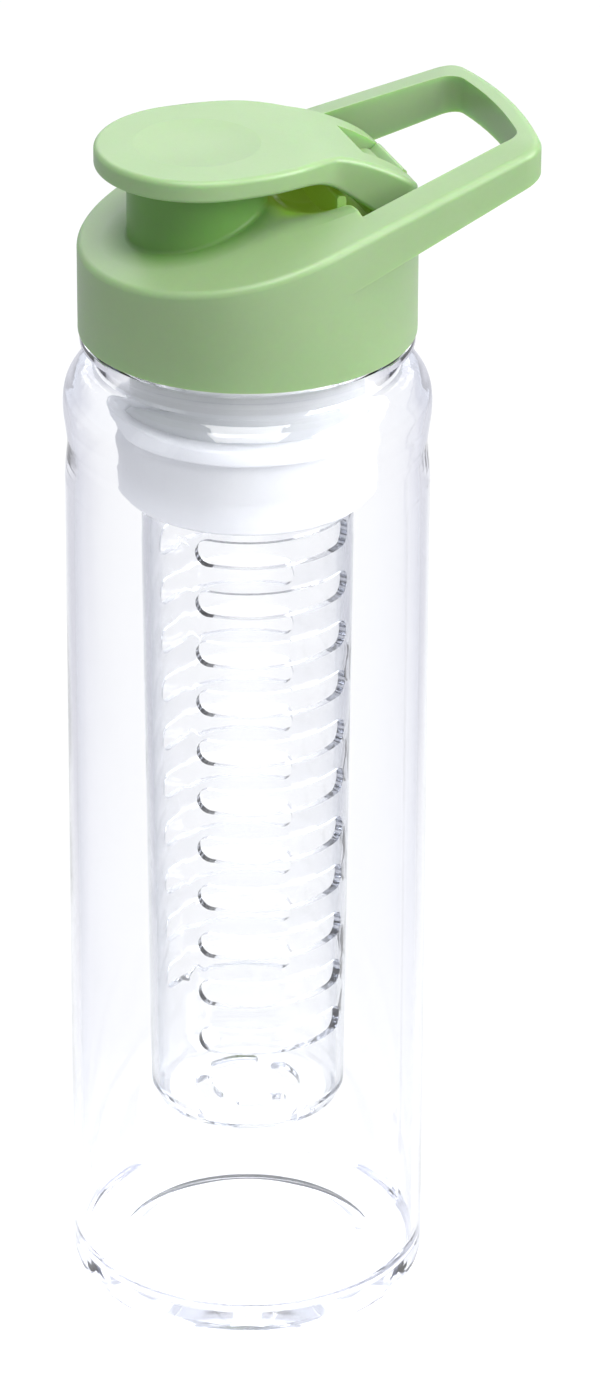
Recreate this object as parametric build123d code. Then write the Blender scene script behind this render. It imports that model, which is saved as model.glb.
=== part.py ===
from build123d import *

from math import atan, cos, degrees, pi, radians, sin, sqrt, tan
import os

# Fruit infuser water bottle: clear bottle, green screw lid with a carry loop, flip cap,
# white infuser collar and slotted clear infuser tube.
#
# Millimetres. The origin is the bottle axis at the foot, +Z is up, the loop points to +X,
# the drinking spout sits towards -X and the flip cap's hinge runs along Y.

os.makedirs("parts", exist_ok=True)

# ---------------------------------------------------------------- driving sizes
# bottle
BODY_R = 36.5          # outside radius of the straight wall
BODY_IN_R = 34.6       # inside radius of the straight wall
FOOT_R0, FOOT_R1 = 26.8, 32.2   # flat foot ring
CORNER_R = 4.3         # base corner
PUSH_UP = 2.4          # height of the recess inside the foot ring
FLOOR_Z = 5.0          # inside floor
NECK_R, NECK_IN_R = 30.1, 28.2
NECK_TOP = 225.5
BEAD_R, BEAD_Z0, BEAD_Z1 = 33.3, 210.9, 213.4

# screw thread between neck and lid, two starts
LEAD = 8.0
NECK_CREST = 31.55
LID_CREST = 30.4

# lid
LID_R = 33.6
LID_BORE = 31.9
LID_Z0 = 213.7
CEIL_Z = 227.0         # underside that presses on the neck gasket
SLOPE = 0.2806         # rise of the lid top towards the loop, mm per mm
CREASE_Z = 238.86      # outer crease of the lid top above the origin
FRONT_LIFT = 0.0022    # the rim levels off in front of the spout
TOP_TILT = 0.144       # the top face rises inwards from the crease
EDGE_R = 1.5           # rounding of the outer crease
ARM_T = 0.19           # arms converge by this much per mm
ARM_IN_C, ARM_IN_T = 27.08, 0.193
LOOP_END_X = 55.4      # outer end of the loop
LOOP_END_R = 110.0
LOOP_IN_X = 51.5
LOOP_IN_R = 120.0
LOOP_CORNER, LOOP_IN_CORNER = 6.2, 4.5
ARM_Z0, ARM_K = 228.3, 0.352    # underside of the loop
BOWL_D, BOWL_Y = 9.3, 23.0      # the deck dips between spout and hinge, this deep and half as wide
BOWL_X0, BOWL_X1 = -3.5, 14.0
POCKET_X, POCKET_Z = 15.0, 236.4   # pocket behind the rib, under the hinge
REST_X0, REST_X1, REST_Y, REST_Z = 13.6, 15.4, 14.0, 244.4   # rib under the bridge
CAVITY_R, CAVITY_Z = 18.4, 233.4
BOSS_R, BOSS_Z = 20.2, 213.0

# spout
SP_X = -10.5
SP_R, SP_BORE, SP_TOP = 13.8, 11.6, 248.8
SP_FOOT_R = 0.8

# hinge
HX, HZ = 26.6, 241.8
PIN_R = 1.25
EAR_R = 4.6
LUG_R, LUG_Y = 2.9, 7.1
EAR_IN, EAR_OUT = 7.4, 14.5

# flip cap
CAP_TOP, CAP_BOT = 253.7, 249.3
CAP_CX, CAP_R = -9.8, 20.8
WINDOW_X = 21.2
CAP_EDGE_R, CAP_LOW_R = 1.1, 0.8
DIMPLE_X, DIMPLE_Y, DIMPLE_R, DIMPLE_D = -10.5, 0.0, 12.5, 0.8
PLUG_BOSS_R, PLUG_BOSS_IN = 8.8, 7.2

# infuser
COL_NECK_R, COL_IN_R = 23.4, 22.0
FLANGE_R, FLANGE_Z0, FLANGE_Z1 = 27.0, 195.6, 198.4
BARREL_R, BARREL_IN, BARREL_Z0 = 25.6, 23.3, 179.5
LIP_IN, LIP_Z = 22.1, 185.6
COL_TOP = 224.6
LUG_LEAD = 16.0
TUBE_TOP_Z, TUBE_BOT_Z = 194.6, 40.6
TUBE_R0, TUBE_Z0, TUBE_R1, TUBE_Z1 = 20.0, 45.0, 21.4, 175.0
TUBE_WALL = 1.5
SLOT_H, SLOT_PITCH, SLOT_N, SLOT_LOW, SLOT_ARC = 5.5, 11.094, 11, 59.44, 97.0


def revolved(pts_or_wire):
    return revolve(make_face(Plane.XZ * pts_or_wire), Axis.Z)


def ring(r0, r1, z0, z1):
    return Pos(0, 0, z0) * (
        Cylinder(r1, z1 - z0, align=(Align.CENTER, Align.CENTER, Align.MIN))
        - Cylinder(r0, z1 - z0, align=(Align.CENTER, Align.CENTER, Align.MIN))
    )


def cyl(r, z0, z1, x=0.0, y=0.0):
    return Pos(x, y, z0) * Cylinder(r, z1 - z0, align=(Align.CENTER, Align.CENTER, Align.MIN))


def box(x0, x1, y0, y1, z0, z1):
    return Pos((x0 + x1) / 2, (y0 + y1) / 2, (z0 + z1) / 2) * Box(x1 - x0, y1 - y0, z1 - z0)


def helical_rib(r_root, r_crest, w_root, w_crest, z0, lead, start, span):
    """Trapezoidal rib that follows a right-hand helix, root at r_root."""
    path = Helix(pitch=lead, height=lead * span / 360.0, radius=r_root)
    sec = Wire.make_polygon(
        [
            Vector(r_root, 0, -w_root / 2),
            Vector(r_crest, 0, -w_crest / 2),
            Vector(r_crest, 0, w_crest / 2),
            Vector(r_root, 0, w_root / 2),
        ],
        close=True,
    )
    rib = sweep(Face(sec), path=path, is_frenet=True)
    return Pos(0, 0, z0) * Rot(0, 0, start) * rib


def helical_in(r_root, r_crest, w_root, w_crest, z0, lead, start, span):
    """The same rib pointing inwards from a bore, its path kept on the crest radius."""
    path = Helix(pitch=lead, height=lead * span / 360.0, radius=r_crest)
    sec = Wire.make_polygon(
        [
            Vector(r_crest, 0, -w_crest / 2),
            Vector(r_root, 0, -w_root / 2),
            Vector(r_root, 0, w_root / 2),
            Vector(r_crest, 0, w_crest / 2),
        ],
        close=True,
    )
    rib = sweep(Face(sec), path=path, is_frenet=True)
    return Pos(0, 0, z0) * Rot(0, 0, start) * rib


def write(name, shape):
    solids = shape.solids()
    out = solids[0] if len(solids) == 1 else Compound(children=list(solids))
    out.label = name
    export_step(out, f"parts/{name}.step")


# ---------------------------------------------------------------- bottle body
outer = Polyline((0, PUSH_UP), (23.0, PUSH_UP), (FOOT_R0, 0), (FOOT_R1, 0))
corner = ThreePointArc(
    (FOOT_R1, 0),
    (FOOT_R1 + CORNER_R * sin(radians(45)), CORNER_R * (1 - cos(radians(45)))),
    (BODY_R, CORNER_R),
)
wall = Line((BODY_R, CORNER_R), (BODY_R, 181.6))
groove = Spline(
    (BODY_R, 181.6), (35.95, 189.9), (36.75, 197.4),
    tangents=[(0, 1), (0, 1)],
)
shoulder = Spline(
    (36.75, 197.4), (35.75, 202.4), (33.4, 205.6), (30.9, 207.0),
    tangents=[(0, 1), (-1, 0.18)],
)
neck_low = Polyline((30.9, 207.0), (30.5, 207.6), (30.5, 210.2), (32.6, BEAD_Z0), (BEAD_R, BEAD_Z0 + 0.5))
bead = Polyline((BEAD_R, BEAD_Z0 + 0.5), (BEAD_R, BEAD_Z1 - 0.4), (BEAD_R - 0.4, BEAD_Z1), (NECK_R, BEAD_Z1))
neck = Polyline((NECK_R, BEAD_Z1), (NECK_R, NECK_TOP - 0.4), (NECK_R - 0.4, NECK_TOP), (NECK_IN_R + 0.4, NECK_TOP), (NECK_IN_R, NECK_TOP - 0.4), (NECK_IN_R, 206.6))
in_sh = Spline(
    (NECK_IN_R, 206.6), (31.2, 203.9), (33.9, 200.4), (34.7, 196.6),
    tangents=[(0.25, -1), (0, -1)],
)
in_gr = Spline((34.7, 196.6), (34.15, 189.6), (BODY_IN_R, 181.0), tangents=[(0, -1), (0, -1)])
in_wall = Line((BODY_IN_R, 181.0), (BODY_IN_R, FLOOR_Z + 5.0))
in_corner = ThreePointArc(
    (BODY_IN_R, FLOOR_Z + 5.0),
    (BODY_IN_R - 5.0 + 5.0 * cos(radians(45)), FLOOR_Z + 5.0 - 5.0 * sin(radians(45))),
    (BODY_IN_R - 5.0, FLOOR_Z),
)
in_floor = Polyline((BODY_IN_R - 5.0, FLOOR_Z), (26.0, FLOOR_Z + 0.2), (0, FLOOR_Z + 1.0), (0, PUSH_UP))
bottle_body = revolved(
    outer + corner + wall + groove + shoulder + neck_low + bead + neck + in_sh + in_gr + in_wall + in_corner + in_floor
)
for k in (0, 1):
    bottle_body += helical_rib(NECK_R - 0.3, NECK_CREST, 2.35, 1.2, 216.4, LEAD, 180 * k, 200)
write("bottle_body", bottle_body)

# ---------------------------------------------------------------- neck gasket
neck_gasket = ring(28.4, 31.4, NECK_TOP + 0.05, CEIL_Z - 0.05)
write("neck_gasket", neck_gasket)

# ---------------------------------------------------------------- lid
# plan of the lid: a circle that runs out into two converging arms and a bowed end bar
ARM_C = LID_R * sqrt(1 + ARM_T**2)            # |y| of the arm line at x = 0


def arc_line(cx, r, c, t):
    """Where the circle (cx, 0, r) meets the line y = c - t x, on the right."""
    a, b, d = 1 + t * t, -2 * (cx + c * t), cx * cx + c * c - r * r
    x = (-b + sqrt(b * b - 4 * a * d)) / (2 * a)
    return x, c - t * x


def lid_plan(off):
    c = ARM_C + off * sqrt(1 + ARM_T**2)
    r = LID_R + off
    x1, y1 = r * ARM_T / sqrt(1 + ARM_T**2), r / sqrt(1 + ARM_T**2)
    xe, ye = arc_line(LOOP_END_X - LOOP_END_R, LOOP_END_R + off, c, ARM_T)
    face = make_face(
        ThreePointArc((x1, y1), (-r, 0), (x1, -y1))
        + Line((x1, -y1), (xe, -ye))
        + ThreePointArc((xe, -ye), (LOOP_END_X + off, 0), (xe, ye))
        + Line((xe, ye), (x1, y1))
    )
    return fillet(face.vertices().filter_by_position(Axis.X, 40, 70), LOOP_CORNER + off)


def inward(x, y):
    """Distance in from the outline, rounded off where the end bar meets the arms."""
    n = sqrt(1 + ARM_T**2)
    if x < LID_R * ARM_T / n:
        side_d = LID_R - sqrt(x * x + y * y)
    else:
        side_d = (ARM_C - ARM_T * x - abs(y)) / n
    cx = LOOP_END_X - LOOP_END_R
    end_d = LOOP_END_R - sqrt((x - cx) ** 2 + y * y)
    k = 2.0
    h = max(k - abs(side_d - end_d), 0) / k
    return min(side_d, end_d) - h * h * k / 4


def top_z(x, y):
    z = CREASE_Z + SLOPE * x + TOP_TILT * inward(x, y)
    if x < -2:
        z += FRONT_LIFT * (x + 2) ** 2
    return z


def bowl_z(x, y):
    """Height of the smooth hollow of the deck behind the spout."""
    s = min(max((x - BOWL_X0) / (BOWL_X1 - BOWL_X0), 0), 1)
    t = min(abs(y) / BOWL_Y, 1)
    return top_z(x, y) + 0.06 - (BOWL_D + 0.06) * s * s * (3 - 2 * s) * cos(pi / 2 * t) ** 2


# lid top as one smooth face, everything below it is kept
xs = [-38 + 98 * i / 70 for i in range(71)]
ys = [-38 + 76 * j / 57 for j in range(58)]
top_face = Face.make_surface_from_array_of_points([[Vector(x, y, top_z(x, y)) for y in ys] for x in xs])
below = extrude(top_face, 70, dir=(0, 0, -1))
print("below", below.is_valid, round(below.volume))

prism = extrude(Pos(0, 0, 205) * lid_plan(0), 60)
above_under = extrude(
    Plane.XZ.offset(-70) * make_face(Polyline(
        (-60, ARM_Z0 - 60 * ARM_K), (80, ARM_Z0 + 80 * ARM_K), (80, 300), (-60, 300), (-60, ARM_Z0 - 60 * ARM_K))),
    140)
shell = (cyl(LID_R, LID_Z0, 262) + (prism & above_under)) & below

crease = [e for e in shell.edges() if e.center().Z > 225
          and all(abs(p.Z - top_z(p.X, p.Y)) < 0.25 for p in (e @ 0.02, e @ 0.25, e @ 0.5, e @ 0.98))]
print("crease edges", len(crease))
try:
    shell = fillet(crease, EDGE_R)
    print("crease rounded", shell.is_valid)
except Exception as err:
    print("crease left sharp", err)

# opening between the arms and the pocket under the bridge
xi, yi = arc_line(LOOP_IN_X - LOOP_IN_R, LOOP_IN_R, ARM_IN_C, ARM_IN_T)
XF = -6.0
plan_in = make_face(
    Line((XF, ARM_IN_C - ARM_IN_T * XF), (XF, -(ARM_IN_C - ARM_IN_T * XF)))
    + Line((XF, -(ARM_IN_C - ARM_IN_T * XF)), (xi, -yi))
    + ThreePointArc((xi, -yi), (LOOP_IN_X, 0), (xi, yi))
    + Line((xi, yi), (XF, ARM_IN_C - ARM_IN_T * XF))
)
plan_in = fillet(plan_in.vertices().filter_by_position(Axis.X, 40, 60), LOOP_IN_CORNER)
opening = extrude(Pos(0, 0, 205) * plan_in, 60)
through = opening - cyl(LID_R, 200, 270)
pocket = opening & box(POCKET_X, 60, -40, 40, POCKET_Z, 262)
bowl_face = Face.make_surface_from_array_of_points(
    [[Vector(x, y, bowl_z(x, y)) for y in [-26 + 52 * j / 52 for j in range(53)]]
     for x in [-7 + 22.5 * i / 30 for i in range(31)]])
bowl = extrude(bowl_face, 40, dir=(0, 0, 1))
lid = shell - through - pocket - bowl
print("deck hollow", bowl.is_valid, lid.is_valid, round((shell - through - pocket).volume - lid.volume))

# rib under the bridge, hinge lug
rest = box(REST_X0, REST_X1, -REST_Y, REST_Y, POCKET_Z - 1.0, REST_Z)
rest = fillet(rest.edges().filter_by(Axis.Y).group_by(Axis.Z)[-1], 0.6)
lug_prof = make_face(
    Polyline((HX - 4.0, POCKET_Z - 1.0), (HX + 4.6, POCKET_Z - 1.0), (HX + 4.0, HZ + 3.0), (HX + 3.2, HZ + 3.7),
             (HX + 1.4, HZ + 2.3), (HX, HZ), (HX - LUG_R, HZ), (HX - 4.0, POCKET_Z - 1.0)))
lug = extrude(Plane.XZ.offset(-LUG_Y) * lug_prof, 2 * LUG_Y)
lug += Pos(HX, 0, HZ) * Rot(90, 0, 0) * Cylinder(LUG_R, 2 * LUG_Y)
lug = fillet([e for e in lug.edges().filter_by(Axis.Y) if e.center().Z > HZ + 2.95], 0.5)
lid = lid + rest + lug

# drinking spout
spout = cyl(SP_R, 232.0, SP_TOP, x=SP_X)
lid += spout
foot = [e for e in lid.edges() if e.center().Z < 244 and e.bounding_box().size.X > 5
        and all(abs(sqrt((p.X - SP_X) ** 2 + p.Y**2) - SP_R) < 0.02 for p in (e @ 0.1, e @ 0.5, e @ 0.9))]
print("spout foot edges", len(foot))
for foot_r in (SP_FOOT_R, SP_FOOT_R * 1.25, SP_FOOT_R * 1.6, SP_FOOT_R * 2):
    try:
        trial = fillet(foot, foot_r)
        if trial.is_valid and len(trial.solids()) == 1:
            lid = trial
            print("spout foot rounded", foot_r)
            break
    except Exception as err:
        print("spout foot radius", foot_r, "not possible")
lid -= cyl(SP_BORE, 231.0, 255.0, x=SP_X)
top_edges = [e for e in lid.edges().filter_by(GeomType.CIRCLE) if abs(e.center().Z - SP_TOP) < 0.01]
try:
    lid = fillet(top_edges, 0.5)
except Exception as err:
    print("spout rim left sharp", err)

# inside: bore for the neck, ceiling, boss for the infuser, cavity
lid -= cyl(LID_BORE, LID_Z0 - 1, CEIL_Z)
lid -= cyl(CAVITY_R, CEIL_Z - 1, CAVITY_Z)
lid += ring(CAVITY_R, BOSS_R, BOSS_Z, CEIL_Z + 0.5)
lid -= Pos(HX, 0, HZ) * Rot(90, 0, 0) * Cylinder(PIN_R + 0.05, 3 * LUG_Y)
for k in (0, 1):
    lid += helical_in(LID_BORE + 0.4, LID_CREST, 2.35, 1.2, 216.4 + LEAD / 4 - 0.7, LEAD, 180 * k - 31.5, 200)
for k in range(4):
    lid += helical_rib(BOSS_R - 0.3, BOSS_R + 1.45, 2.35, 1.2, 215.6, LUG_LEAD, 90 * k, 56)
print("lid", lid.is_valid, len(lid.solids()), round(lid.volume))
write("lid_cap", lid)

# ---------------------------------------------------------------- infuser gasket
infuser_gasket = ring(20.6, 23.2, COL_TOP + 0.05, CEIL_Z - 0.05)
write("infuser_gasket", infuser_gasket)

# ---------------------------------------------------------------- flip cap
rear_x, rear_r = HX + EAR_R - 0.2, 3.0
front = ThreePointArc((CAP_CX, CAP_R), (CAP_CX - CAP_R, 0), (CAP_CX, -CAP_R))
flank = [(CAP_CX, CAP_R), (-5.0, 20.75), (1.0, 20.0), (5.0, 18.9), (8.5, 17.3), (11.2, 15.8), (15.5, EAR_OUT)]
up = Spline(*flank, tangents=[(1, 0), (1, 0)])
dn = Spline(*[(x, -y) for x, y in flank], tangents=[(1, 0), (1, 0)])
plan_cap = make_face(
    front + dn + Line((15.5, -EAR_OUT), (rear_x, -EAR_OUT)) + Line((rear_x, -EAR_OUT), (rear_x, EAR_OUT))
    + Line((rear_x, EAR_OUT), (15.5, EAR_OUT)) + up
)
plan_cap = fillet(plan_cap.vertices().filter_by_position(Axis.X, 30, 40), rear_r)
aa = radians(40)
e0 = (HX - EAR_R * sin(aa), HZ - EAR_R * cos(aa))
flat_x = (-32, -26, -20, -14, -8, -3, 1.5)
top_pts = [(x, CAP_TOP) for x in flat_x] + [
    (5.0, CAP_TOP - 0.04), (8.5, 253.5), (12.0, 253.1), (16.0, 252.2), (20.0, 250.75), (24.0, 248.85), (28.0, 246.45),
    (31.6, 243.5)]
bot_pts = [(x, CAP_BOT) for x in flat_x] + [
    (5.2, CAP_BOT - 0.08), (8.8, 248.5), (11.4, 247.3), (13.8, 245.8), (16.1, 244.1), (18.2, 242.5), e0]
side = make_face(
    Line((-32, CAP_TOP), (-32, CAP_BOT))
    + Spline(*bot_pts, tangents=[(1, 0), (cos(aa), -sin(aa))])
    + ThreePointArc(e0, (HX, HZ - EAR_R), (HX + EAR_R, HZ))
    + Line((HX + EAR_R, HZ), (31.6, 243.5))
    + Spline(*top_pts[::-1], tangents=[(-1, 0.85), (-1, 0)])
)
cap = extrude(Pos(0, 0, 230) * plan_cap, 30) & extrude(Plane.XZ.offset(-30) * side, 60)
print("cap blank", cap.is_valid, len(cap.solids()))


def on_profile(e, pts):
    for k in (0.02, 0.3, 0.5, 0.7, 0.98):
        q = e @ k
        z = [z0 + (z1 - z0) * (q.X - x0) / (x1 - x0) for (x0, z0), (x1, z1) in zip(pts, pts[1:]) if x0 <= q.X <= x1]
        if not z or abs(q.Z - z[0]) > 0.25:
            return False
    return True


cap = fillet([e for e in cap.edges() if on_profile(e, top_pts)], CAP_EDGE_R)
cap = fillet([e for e in cap.edges() if on_profile(e, bot_pts)], CAP_LOW_R)
print("cap rounded", cap.is_valid)
cap -= box(WINDOW_X, 40, -EAR_IN, EAR_IN, 230, 260)

# thumb dimple, recess under the bridge, boss for the plug, pin bore
dr = (DIMPLE_R**2 + DIMPLE_D**2) / (2 * DIMPLE_D)
cap -= Pos(DIMPLE_X, DIMPLE_Y, CAP_TOP + dr - DIMPLE_D) * Sphere(dr)
cap -= box(4.5, 17.5, -11.6, 11.6, 240, 250.4)
cap += Pos(SP_X, 0, 0) * ring(PLUG_BOSS_IN, PLUG_BOSS_R, 245.5, CAP_BOT + 0.5)
cap -= Pos(HX, 0, HZ) * Rot(90, 0, 0) * Cylinder(PIN_R + 0.02, 27.0)
print("cap", cap.is_valid, len(cap.solids()), round(cap.volume))
write("flip_cap", cap)

# ---------------------------------------------------------------- hinge pin
pin = Pos(HX, 0, HZ) * Rot(90, 0, 0) * Cylinder(PIN_R, 26.6)
pin = chamfer(pin.edges().filter_by(GeomType.CIRCLE), 0.2)
write("hinge_pin", pin)

# ---------------------------------------------------------------- spout plug
plug = revolved(Polyline(
    (0, 244.3), (9.9, 244.3), (10.3, 244.7), (11.15, 248.4), (11.2, 248.85), (13.0, 248.85), (13.0, CAP_BOT - 0.02),
    (PLUG_BOSS_R + 0.03, CAP_BOT - 0.02), (PLUG_BOSS_R + 0.03, 245.45), (0, 245.45), (0, 244.3)))
plug = Pos(SP_X, 0, 0) * plug
write("spout_plug", plug)

# ---------------------------------------------------------------- infuser collar
collar = revolved(Polyline(
    (LIP_IN, BARREL_Z0), (BARREL_R - 0.5, BARREL_Z0), (BARREL_R, BARREL_Z0 + 0.5), (BARREL_R, FLANGE_Z0),
    (FLANGE_R - 0.3, FLANGE_Z0), (FLANGE_R, FLANGE_Z0 + 0.3), (FLANGE_R, FLANGE_Z1 - 0.3), (FLANGE_R - 0.3, FLANGE_Z1),
    (COL_NECK_R, FLANGE_Z1), (COL_NECK_R, COL_TOP), (COL_IN_R, COL_TOP), (COL_IN_R, TUBE_TOP_Z + 0.1),
    (BARREL_IN, TUBE_TOP_Z + 0.1), (BARREL_IN, LIP_Z), (LIP_IN, LIP_Z - 0.7), (LIP_IN, BARREL_Z0)))
for k in range(4):
    collar += helical_in(COL_IN_R + 0.4, BOSS_R + 0.35, 2.35, 1.2, 215.6 + LUG_LEAD / 8, LUG_LEAD, 90 * k, 56)
print("collar", collar.is_valid, len(collar.solids()), round(collar.volume))
write("infuser_collar", collar)

# ---------------------------------------------------------------- infuser tube
g = (TUBE_R1 - TUBE_R0) / (TUBE_Z1 - TUBE_Z0)
rt = lambda z: TUBE_R0 + g * (z - TUBE_Z0)
tube = revolved(Polyline(
    (0, TUBE_BOT_Z), (rt(TUBE_BOT_Z) - 3.4, TUBE_BOT_Z), (rt(TUBE_BOT_Z) - 1.0, TUBE_BOT_Z + 0.9),
    (rt(TUBE_BOT_Z + 3) , TUBE_BOT_Z + 3.2), (rt(TUBE_Z1), TUBE_Z1), (rt(TUBE_Z1), LIP_Z + 0.35),
    (22.95, LIP_Z + 0.35), (22.95, LIP_Z + 2.2), (22.2, LIP_Z + 3.0), (22.2, TUBE_TOP_Z), (rt(TUBE_Z1) - TUBE_WALL, TUBE_TOP_Z),
    (rt(TUBE_Z1) - TUBE_WALL, TUBE_Z1), (rt(TUBE_BOT_Z + 4) - TUBE_WALL, TUBE_BOT_Z + 4.2),
    (rt(TUBE_BOT_Z) - 3.6, TUBE_BOT_Z + 1.6), (0, TUBE_BOT_Z + 1.6), (0, TUBE_BOT_Z)))
half = degrees((SLOT_H / 2) / 20.7)
body_arc = SLOT_ARC - 2 * half
cutters = []
for fam in (-90, 90):
    for i in range(SLOT_N):
        zc = SLOT_LOW + SLOT_H / 2 + SLOT_PITCH * i
        sec = Plane.XZ * make_face(Polyline(
            (17, zc - SLOT_H / 2), (25, zc - SLOT_H / 2), (25, zc + SLOT_H / 2), (17, zc + SLOT_H / 2), (17, zc - SLOT_H / 2)))
        cutters.append(Rot(0, 0, fam - body_arc / 2) * revolve(sec, Axis.Z, revolution_arc=body_arc))
        for s in (-1, 1):
            cutters.append(Rot(0, 0, fam + s * body_arc / 2) * Pos(21, 0, zc) * Rot(0, 90, 0) * Cylinder(SLOT_H / 2, 8))
tube -= cutters
kid = []
for k in range(4):
    sec = Plane.XZ * make_face(Polyline((7.2, 38), (10.9, 38), (10.9, 46), (7.2, 46), (7.2, 38)))
    kid.append(Rot(0, 0, 90 * k - 22) * revolve(sec, Axis.Z, revolution_arc=44))
    for s in (-22, 22):
        kid.append(Rot(0, 0, 90 * k + s) * Pos(9.05, 0, 42) * Cylinder(1.85, 8))
tube -= kid
print("tube", tube.is_valid, len(tube.solids()), round(tube.volume))
write("infuser_tube", tube)
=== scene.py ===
"""Studio picture of a fruit infuser water bottle: clear bottle, green screw lid with a carry loop
and a hinged cover, white collar and a slotted clear tube inside. Metres, +Z up."""

import math

import bpy
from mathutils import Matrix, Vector

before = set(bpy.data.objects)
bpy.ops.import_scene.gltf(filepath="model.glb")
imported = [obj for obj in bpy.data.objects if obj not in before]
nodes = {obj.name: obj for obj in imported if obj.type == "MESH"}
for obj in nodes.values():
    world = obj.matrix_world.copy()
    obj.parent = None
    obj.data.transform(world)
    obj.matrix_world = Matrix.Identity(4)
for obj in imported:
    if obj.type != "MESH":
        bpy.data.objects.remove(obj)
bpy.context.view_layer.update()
scene = bpy.context.scene

# ------------------------------------------------------------------ camera
AZIMUTH = math.radians(-19.5)     # the loop points to the right and a little away
PITCH = math.radians(26.85)       # looks down by this much
STAND_OFF, HEIGHT = 1.23538, 0.75597
cam_data = bpy.data.cameras.new("studio_camera")
cam = bpy.data.objects.new("studio_camera", cam_data)
scene.collection.objects.link(cam)
cam.location = (math.sin(AZIMUTH) * STAND_OFF, -math.cos(AZIMUTH) * STAND_OFF, HEIGHT)
cam.rotation_euler = (math.pi / 2 - PITCH, 0, AZIMUTH)
cam_data.sensor_width = 36
cam_data.lens = 175.52
cam_data.shift_x = 0.03745
cam_data.clip_start, cam_data.clip_end = 0.05, 50
scene.camera = cam

# the camera's own directions on the floor, for placing lights
AHEAD = Vector((-math.sin(AZIMUTH), math.cos(AZIMUTH), 0))
RIGHT = Vector((math.cos(AZIMUTH), math.sin(AZIMUTH), 0))
UP = Vector((0, 0, 1))

# the floor is white behind and under the bottle, and turns pale grey to both sides: a painted pool of light, in the
# paper's colour and in its glow
FLOOR_MID, FLOOR_WHITE, FLOOR_SPREAD, FLOOR_SOFT = 0.0125, 0.067, 0.042, 0.09
FLOOR_PAPER, FLOOR_SIDE_PAINTED_FALLOFF, FLOOR_GLOW, FLOOR_FAR = 0.37, 0.70, 1.38, 1.16
FOOT_RING, FOOT_WIDE, FOOT_GLOW = 0.0335, 0.0045, 1.9
ROOM_FILL, ROOM_GLOSS = 0.22, 0.90


# ------------------------------------------------------------------ node helpers
class Tree:
    """A small wrapper that adds nodes to a material and links them."""

    def __init__(self, name):
        self.mat = bpy.data.materials.new(name)
        self.mat.use_nodes = True
        self.nt = self.mat.node_tree
        self.nt.nodes.clear()
        self.out = self.nt.nodes.new("ShaderNodeOutputMaterial")

    def node(self, kind, **values):
        n = self.nt.nodes.new("ShaderNode" + kind)
        for key, value in values.items():
            if hasattr(n, key):
                setattr(n, key, value)
            else:
                self.put(n.inputs[key.replace("_", " ")], value)
        return n

    def put(self, socket, value):
        if isinstance(value, bpy.types.NodeSocket):
            self.nt.links.new(value, socket)
        else:
            socket.default_value = value

    def principled(self, **values):
        n = self.nt.nodes.new("ShaderNodeBsdfPrincipled")
        for key, value in values.items():
            self.put(n.inputs[key.replace("_", " ")], value)
        return n

    def place(self):
        """Where the point is on the object, in metres."""
        return self.node("TexCoord").outputs["Object"]

    def noise(self, scale, detail=2.0, rough=0.5, at=None):
        n = self.node("TexNoise", Scale=scale, Detail=detail, Roughness=rough)
        self.put(n.inputs["Vector"], self.place() if at is None else at)
        return n.outputs["Fac"]

    def map(self, value, lo, hi, to_lo, to_hi):
        n = self.node("MapRange")
        self.put(n.inputs["Value"], value)
        for socket, v in zip(("From Min", "From Max", "To Min", "To Max"), (lo, hi, to_lo, to_hi)):
            n.inputs[socket].default_value = v
        return n.outputs["Result"]

    def ramp(self, fac, *stops):
        n = self.node("ValToRGB")
        self.put(n.inputs["Fac"], fac)
        els = n.color_ramp.elements
        while len(els) < len(stops):
            els.new(0.5)
        for e, (pos, rgb) in zip(els, stops):
            e.position, e.color = pos, (*rgb, 1)
        return n.outputs["Color"]

    def mix(self, fac, a, b, blend="MIX"):
        n = self.node("Mix", data_type="RGBA", blend_type=blend)
        self.put(n.inputs["Factor"], fac)
        for socket, v in ((n.inputs[6], a), (n.inputs[7], b)):
            if isinstance(v, tuple):
                v = (*v[:3], 1)
            self.put(socket, v)
        return n.outputs[2]

    def math(self, op, a, b=0.0):
        n = self.node("Math", operation=op)
        self.put(n.inputs[0], a)
        self.put(n.inputs[1], b)
        return n.outputs[0]

    def bump(self, height, strength, distance):
        n = self.node("Bump")
        n.inputs["Strength"].default_value = strength
        n.inputs["Distance"].default_value = distance
        self.put(n.inputs["Height"], height)
        return n.outputs["Normal"]

    def done(self, shader):
        self.nt.links.new(shader, self.out.inputs["Surface"])
        return self.mat


def dress(name, mat):
    """Puts one material on every slot of a CAD node."""
    ob = nodes[name]
    for slot in ob.material_slots:
        slot.material = mat


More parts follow.
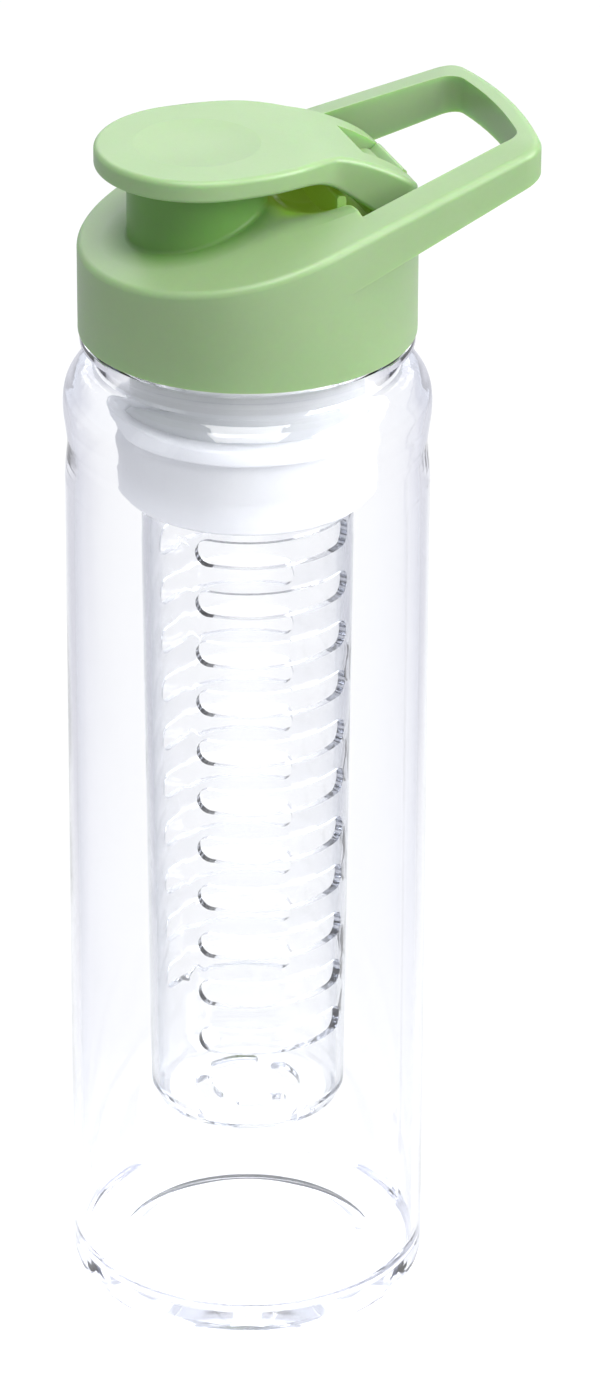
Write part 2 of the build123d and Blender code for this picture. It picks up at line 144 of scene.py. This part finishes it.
# ------------------------------------------------------------------ green moulded plastic
def green_plastic():
    """Satin polypropylene: fine spark-eroded grain, faint flow marks, a little light coming through, and painted
    shade and a painted glow under the disc and the bridge.
    """
    t = Tree("green_plastic")
    cloud = t.noise(28, 3, 0.55)
    fine = t.noise(900, 2, 0.6)
    grain = t.noise(5200, 2, 0.65)
    tone = t.ramp(
        cloud,
        (0.30, (0.248, 0.381, 0.170)),
        (0.50, (0.262, 0.394, 0.182)),
        (0.72, (0.280, 0.408, 0.198)),
    )
    tone = t.mix(t.map(fine, 0.35, 0.65, 0.0, 0.10), tone, (0.306, 0.424, 0.221))
    # painted shade: under the disc and the bridge the green is painted deeper and less glossy, for the shade where
    # the light has only green walls to come from; under the bridge the plastic also has a painted glow
    at = t.node("SeparateXYZ")
    t.put(at.inputs[0], t.place())
    x, y, z = at.outputs
    away = t.math("SQRT", t.math("ADD", t.math("POWER", t.math("ADD", x, 0.0105), 2.0), t.math("POWER", t.math("ABSOLUTE", y), 2.0)))
    spout_painted_shade = t.math("MULTIPLY", t.map(away, 0.0142, 0.0190, 1.0, 0.0), t.map(z, 0.2484, 0.2492, 1.0, 0.0))
    roof = t.math("SUBTRACT", 0.2486, t.math("MULTIPLY", t.math("MAXIMUM", t.math("SUBTRACT", x, 0.0085), 0.0), 0.63))
    bridge_painted_shade_and_glow = t.map(t.math("SUBTRACT", z, roof), -0.0002, 0.0006, 1.0, 0.0)
    for value, lo, hi, a, b in ((x, 0.0, 0.004, 0.0, 1.0), (x, 0.020, 0.024, 1.0, 0.0), (t.math("ABSOLUTE", y), 0.0120, 0.0160, 1.0, 0.0)):
        bridge_painted_shade_and_glow = t.math("MULTIPLY", bridge_painted_shade_and_glow, t.map(value, lo, hi, a, b))
    # painted shade: deeper green on the spout under the disc and on the deck under the bridge
    tone = t.mix(t.math("MULTIPLY", spout_painted_shade, 0.72), tone, (0.122, 0.315, 0.048))
    tone = t.mix(t.math("MULTIPLY", bridge_painted_shade_and_glow, 0.85), tone, (0.180, 0.410, 0.035))
    rough = t.map(grain, 0.30, 0.70, 0.36, 0.47)
    p = t.principled(
        Base_Color=tone,
        Roughness=rough,
        IOR=1.49,
        # painted shade: less gloss under the disc and the bridge
        Specular_IOR_Level=t.map(t.math("MAXIMUM", spout_painted_shade, bridge_painted_shade_and_glow), 0.0, 1.0, 0.75, 0.25),
        # painted glow: under the bridge the plastic gives off green light of its own
        Emission_Color=(0.40, 0.60, 0.035, 1),
        Emission_Strength=t.math("MULTIPLY", bridge_painted_shade_and_glow, 0.145),
        Subsurface_Weight=0.5,
        Subsurface_Radius=(0.0022, 0.0060, 0.0009),
        Subsurface_Scale=1.0,
        Sheen_Weight=0.0,
    )
    t.put(p.inputs["Normal"], t.bump(t.math("ADD", grain, t.math("MULTIPLY", fine, 0.6)), 0.22, 0.00004))
    return t.done(p.outputs["BSDF"])


# ------------------------------------------------------------------ clear plastics
def clear_plastic(name, tints, rough, wave_scale, wave, murk, cast):
    """Clear copolyester. The bump is the faint unevenness that moulding leaves in the wall."""
    t = Tree(name)
    swell = t.noise(wave_scale, 1.5, 0.4)
    fine = t.noise(wave_scale * 14, 2, 0.5)
    # the wall looks deeper in colour where it is seen edge on
    p = t.principled(
        Base_Color=t.ramp(t.node("LayerWeight", Blend=0.5).outputs["Facing"], *tints),
        Roughness=t.map(fine, 0.3, 0.7, rough, rough * 2.2),
        IOR=1.54,
        Transmission_Weight=1.0,
    )
    t.put(p.inputs["Normal"], t.bump(swell, 0.35, wave))
    # light passes a thin clear wall almost unhindered, so it casts next to no shadow
    path = t.node("LightPath")
    clear = t.node("BsdfTransparent")
    clear.inputs["Color"].default_value = (0.97, 0.975, 0.985, 1)
    m = t.node("MixShader")
    t.nt.links.new(path.outputs["Is Shadow Ray"], m.inputs[0])
    t.nt.links.new(p.outputs["BSDF"], m.inputs[1])
    t.nt.links.new(clear.outputs["BSDF"], m.inputs[2])
    # a long way through the wall, as at its edges, takes a little of the light
    inside = t.nt.nodes.new("ShaderNodeVolumeAbsorption")
    inside.inputs["Color"].default_value = (*cast, 1)
    inside.inputs["Density"].default_value = murk
    t.nt.links.new(inside.outputs["Volume"], t.out.inputs["Volume"])
    return t.done(m.outputs["Shader"])


# ------------------------------------------------------------------ white collar, silicone, steel
def white_plastic():
    t = Tree("white_plastic")
    cloud = t.noise(45, 3, 0.5)
    grain = t.noise(4200, 2, 0.6)
    tone = t.ramp(cloud, (0.3, (0.785, 0.80, 0.84)), (0.7, (0.815, 0.83, 0.87)))
    p = t.principled(
        Base_Color=tone,
        Roughness=t.map(grain, 0.3, 0.7, 0.26, 0.36),
        IOR=1.49,
        Subsurface_Weight=0.8,
        Subsurface_Radius=(0.020, 0.020, 0.020),
        Subsurface_Scale=1.0,
    )
    t.put(p.inputs["Normal"], t.bump(grain, 0.15, 0.00003))
    return t.done(p.outputs["BSDF"])


def silicone():
    t = Tree("silicone")
    cloud = t.noise(120, 2, 0.5)
    grain = t.noise(3000, 2, 0.6)
    tone = t.ramp(cloud, (0.3, (0.78, 0.80, 0.78)), (0.7, (0.84, 0.86, 0.84)))
    p = t.principled(
        Base_Color=tone,
        Roughness=t.map(grain, 0.3, 0.7, 0.42, 0.58),
        IOR=1.41,
        Subsurface_Weight=0.5,
        Subsurface_Radius=(0.003, 0.003, 0.003),
        Subsurface_Scale=1.0,
    )
    t.put(p.inputs["Normal"], t.bump(grain, 0.2, 0.00003))
    return t.done(p.outputs["BSDF"])


def pin_steel():
    t = Tree("pin_steel")
    at = t.node("Mapping")
    t.put(at.inputs["Vector"], t.place())
    at.inputs["Scale"].default_value = (1.0, 14.0, 1.0)
    rings = t.noise(420, 3, 0.6, at=at.outputs["Vector"])
    tone = t.ramp(rings, (0.3, (0.50, 0.50, 0.51)), (0.7, (0.62, 0.62, 0.63)))
    p = t.principled(
        Base_Color=tone, Metallic=1.0, Roughness=t.map(rings, 0.3, 0.7, 0.22, 0.38),
    )
    t.put(p.inputs["Normal"], t.bump(rings, 0.2, 0.00003))
    return t.done(p.outputs["BSDF"])


GREEN = green_plastic()
BOTTLE = clear_plastic(
    "clear_bottle",
    ((0.20, (0.995, 0.997, 1.0)), (0.45, (0.982, 0.986, 1.0)), (0.69, (0.955, 0.962, 1.0)), (0.97, (0.80, 0.835, 0.94))),
    0.012, 16, 0.0004, 4.0, (0.36, 0.40, 0.72))
TUBE = clear_plastic(
    "clear_infuser",
    ((0.38, (0.985, 0.988, 0.995)), (0.56, (0.94, 0.95, 0.966)), (0.70, (0.74, 0.76, 0.80)), (0.97, (0.52, 0.56, 0.61))),
    0.016, 40, 0.0002, 22.0, (0.50, 0.53, 0.61))
WHITE = white_plastic()
SILICONE = silicone()
STEEL = pin_steel()

dress("bottle_body", BOTTLE)
dress("infuser_tube", TUBE)
dress("lid_cap", GREEN)
dress("flip_cap", GREEN)
dress("infuser_collar", WHITE)
dress("spout_plug", SILICONE)
dress("neck_gasket", SILICONE)
dress("infuser_gasket", SILICONE)
dress("hinge_pin", STEEL)

# ------------------------------------------------------------------ floor, world and lights
mesh = bpy.data.meshes.new("floor")
S = 6.0
mesh.from_pydata([(-S, -S, 0), (S, -S, 0), (S, S, 0), (-S, S, 0)], [], [(0, 1, 2, 3)])
floor = bpy.data.objects.new("floor", mesh)
scene.collection.objects.link(floor)
t = Tree("studio_floor")
across = t.node("VectorMath", operation="DOT_PRODUCT")
t.put(across.inputs[0], t.place())
across.inputs[1].default_value = RIGHT
along = t.node("VectorMath", operation="DOT_PRODUCT")
t.put(along.inputs[0], t.place())
along.inputs[1].default_value = AHEAD
off = t.math("ABSOLUTE", t.math("SUBTRACT", across.outputs["Value"], FLOOR_MID))
edge = t.map(along.outputs["Value"], 0.0, 1.5, FLOOR_WHITE, FLOOR_WHITE + 1.5 * FLOOR_SPREAD)
# painted pool of light: the paper and its glow are full in the white strip and fall to pale grey on both sides
paper = t.ramp(
    t.map(t.math("SUBTRACT", off, edge), 0.0, FLOOR_SOFT, 0.0, 1.0),
    (0.0, (FLOOR_PAPER,) * 3),
    (1.0, (FLOOR_PAPER * FLOOR_SIDE_PAINTED_FALLOFF, FLOOR_PAPER * FLOOR_SIDE_PAINTED_FALLOFF, FLOOR_PAPER * FLOOR_SIDE_PAINTED_FALLOFF * 1.06)),
)
p = t.principled(Base_Color=paper, Roughness=0.9, IOR=1.2)
t.put(p.inputs["Emission Color"], paper)
# the ring under the thick foot glows more, for the light that the foot keeps off it
far = t.node("VectorMath", operation="LENGTH")
t.put(far.inputs[0], t.place())
ring = t.math("ABSOLUTE", t.math("SUBTRACT", far.outputs["Value"], FOOT_RING))
distant = t.map(along.outputs["Value"], 0.15, 0.9, 1.0, FLOOR_FAR)
t.put(p.inputs["Emission Strength"], t.math("MULTIPLY", distant, t.map(ring, 0.0, FOOT_WIDE, FLOOR_GLOW * FOOT_GLOW, FLOOR_GLOW)))
floor.data.materials.append(t.done(p.outputs["BSDF"]))
floor.location.z = -0.0002

world = bpy.data.worlds.new("studio")
scene.world = world
world.use_nodes = True
bg = world.node_tree.nodes["Background"]
bg.inputs["Color"].default_value = (0.88, 0.91, 1.0, 1)
# the room's walls show in gloss and glass, and add only a little light of their own
seen = world.node_tree.nodes.new("ShaderNodeLightPath")
either = world.node_tree.nodes.new("ShaderNodeMath")
either.operation = "MAXIMUM"
level = world.node_tree.nodes.new("ShaderNodeMapRange")
level.inputs["To Min"].default_value, level.inputs["To Max"].default_value = ROOM_FILL, ROOM_GLOSS
world.node_tree.links.new(seen.outputs["Is Glossy Ray"], either.inputs[0])
world.node_tree.links.new(seen.outputs["Is Transmission Ray"], either.inputs[1])
world.node_tree.links.new(either.outputs[0], level.inputs["Value"])
world.node_tree.links.new(level.outputs["Result"], bg.inputs["Strength"])


def softbox(name, at, aim, size, glow, color=(1, 1, 1)):
    """A soft light of the given size in metres. Its glow is how bright its face is beside white paper."""
    data = bpy.data.lights.new(name, "AREA")
    data.shape = "RECTANGLE"
    data.size, data.size_y = size
    data.energy = glow * math.pi * size[0] * size[1]
    data.color = color
    ob = bpy.data.objects.new(name, data)
    scene.collection.objects.link(ob)
    ob.location = at
    ob.rotation_euler = (Vector(aim) - Vector(at)).to_track_quat("-Z", "Y").to_euler()
    return ob


AIM = Vector((0, 0, 0.2))
softbox("key_right", RIGHT * 1.3 - AHEAD * 0.5 + UP * 1.0, AIM, (0.9, 0.9), 11.0)
softbox("front_top", -AHEAD * 0.6 + UP * 1.95, AIM, (1.1, 1.1), 7.2)
softbox("back", AHEAD * 1.55 + UP * 1.45, AIM, (2.4, 1.7), 1.3)
softbox("fill_left", -RIGHT * 1.5 - AHEAD * 0.8 + UP * 0.8, AIM, (0.8, 1.2), 0.6)

# light takes many turns inside thin clear walls
scene.cycles.max_bounces = 24
scene.cycles.glossy_bounces = 16
scene.cycles.transmission_bounces = 20

scene.view_settings.view_transform = "Standard"
scene.view_settings.look = "None"
scene.view_settings.exposure = 0.0
scene.view_settings.gamma = 1.0
